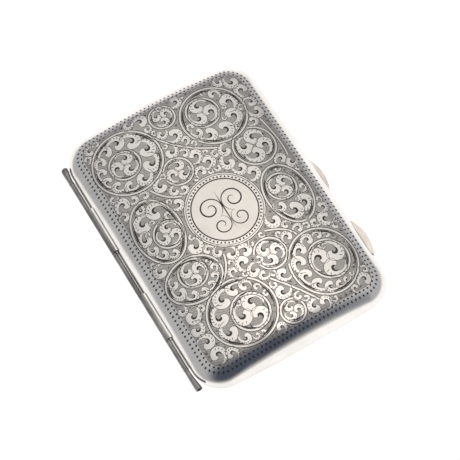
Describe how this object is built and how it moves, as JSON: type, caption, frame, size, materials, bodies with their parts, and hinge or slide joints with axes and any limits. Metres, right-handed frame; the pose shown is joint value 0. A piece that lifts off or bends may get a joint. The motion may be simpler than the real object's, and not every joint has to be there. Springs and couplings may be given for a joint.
{
  "type": "card case",
  "caption": "Pocket card case in engraved silver: pillow-shaped lid and base on a long side hinge, thumb pieces, snap catch and a sprung card retainer.",
  "frame": {"origin": "middle of the small flat under the base", "axes": "+X to the thumb pieces, +Y to the far short end, +Z out of the lid"},
  "size_m": [0.0692, 0.0926, 0.0193],
  "materials": {
    "silver": "hand-polished sterling silver with fine scratches",
    "engraved_silver": "sterling silver, hand-engraved and darkened in the cuts",
    "silver_gilt": "worn gilding on silver, satin",
    "spring_metal": "drawn nickel silver"
  },
  "bodies": {
    "base": {"base_shell": "silver", "base_rim": "silver_gilt", "base_knuckle_near": "silver", "base_knuckle_middle": "silver", "base_knuckle_far": "silver", "hinge_pin": "spring_metal", "hinge_end_near": "silver", "hinge_end_far": "silver", "base_thumbpiece": "silver", "catch_spring": "spring_metal", "retainer_lug_near": "silver_gilt", "retainer_lug_far": "silver_gilt", "retainer_pin_near": "spring_metal", "retainer_pin_far": "spring_metal", "retainer_spring_near": "spring_metal", "retainer_spring_far": "spring_metal"},
    "lid": {"lid_shell": "engraved_silver", "lid_rim": "silver_gilt", "lid_knuckle_near": "silver", "lid_knuckle_far": "silver", "lid_thumbpiece": "silver"},
    "retainer": {"retainer": "silver_gilt"}
  },
  "joints": [
    {"name": "lid_hinge", "type": "hinge", "parent": "base", "child": "lid", "pos_m": [-0.0337, 0, 0.0095], "axis": [0, -1, 0], "range_deg": [0, 175]},
    {"name": "retainer_hinge", "type": "hinge", "parent": "base", "child": "retainer", "pos_m": [-0.02, 0, 0.0076], "axis": [0, -1, 0], "range_deg": [0, 16], "stiffness_Nm_per_rad": 0.02, "springref_deg": -17.19}
  ]
}
